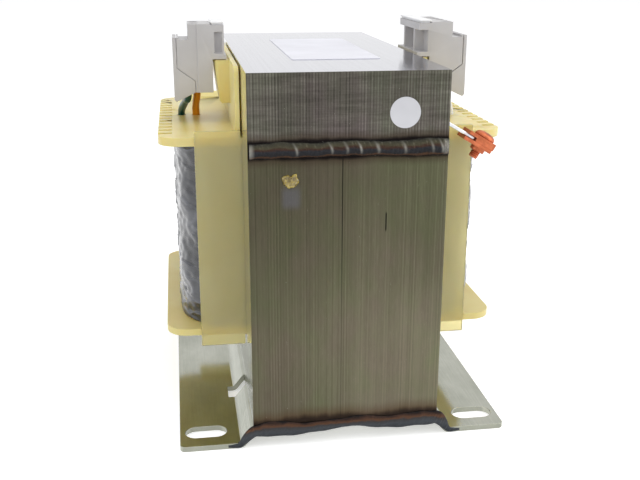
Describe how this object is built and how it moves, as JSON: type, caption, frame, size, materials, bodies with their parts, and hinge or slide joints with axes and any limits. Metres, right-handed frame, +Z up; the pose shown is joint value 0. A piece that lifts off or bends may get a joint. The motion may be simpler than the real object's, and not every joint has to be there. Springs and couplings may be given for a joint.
{
  "type": "laminated chassis transformer",
  "caption": "Welded laminated core on a slotted foot plate, with a moulded coil former, wrapped windings, terminal strips and an earth clamp.",
  "frame": {"origin": "middle of the footprint, on the underside of the feet", "axes": "+Z up, +Y across the core along the feet, +X through the sheet stack"},
  "size_m": [0.125, 0.1524, 0.1444],
  "materials": {
    "lamination_steel": "fine vertical sheet edges, satin",
    "yoke_steel": "sheet edges on the ends, smooth and bright on the top",
    "weld_bead": "rippled, blue-grey with brown heat tint",
    "zinc_plate": "zinc plated, satin",
    "former_nylon": "pale yellow moulding, slightly translucent",
    "liner_board": "pale yellow sheet, slightly translucent",
    "winding_copper": "enamelled wire",
    "winding_paper": "matt",
    "wrap_tape": "glossy tape with overlaps and folds",
    "terminal_grey": "fine moulded grain",
    "marker_white": "smooth",
    "clamp_steel": "plated",
    "green_sleeve": "smooth",
    "orange_sleeve": "smooth",
    "white_sleeve": "smooth",
    "tinned_copper": "bright tinned",
    "clamp_bronze": "copper coloured, satin",
    "label_film": "pale bare film",
    "sticker_film": "grey-white bare film"
  },
  "bodies": {
    "root": {"e_core": "lamination_steel", "i_yoke": "yoke_steel", "yoke_weld_front": "weld_bead", "yoke_weld_back": "weld_bead", "base_weld_front": "weld_bead", "base_weld_back": "weld_bead", "base_plate": "zinc_plate", "coil_former": "former_nylon", "window_liner_front": "liner_board", "window_liner_back": "liner_board", "primary_winding": "winding_copper", "winding_insulation": "winding_paper", "secondary_winding": "winding_copper", "outer_wrap": "wrap_tape", "left_terminal_body_1": "terminal_grey", "right_terminal_body_1": "terminal_grey", "right_terminal_body_2": "terminal_grey", "left_terminal_cover_1": "terminal_grey", "right_terminal_cover_1": "terminal_grey", "right_terminal_cover_2": "terminal_grey", "left_clamp_cage_1": "clamp_steel", "left_clamp_cage_2": "clamp_steel", "right_clamp_cage_1": "clamp_steel", "right_clamp_cage_2": "clamp_steel", "right_clamp_cage_3": "clamp_steel", "right_clamp_cage_4": "clamp_steel", "left_clamp_screws": "clamp_steel", "right_clamp_screws": "clamp_steel", "left_end_plate": "terminal_grey", "left_marker_strip": "marker_white", "right_marker_strip": "marker_white", "green_lead": "green_sleeve", "orange_lead": "orange_sleeve", "front_white_lead": "white_sleeve", "rear_white_lead": "white_sleeve", "earth_strap": "tinned_copper", "earth_clamp": "clamp_bronze", "earth_nut_plate": "clamp_bronze", "earth_screw": "clamp_bronze", "top_label": "label_film", "round_sticker": "sticker_film"}
  },
  "joints": []
}
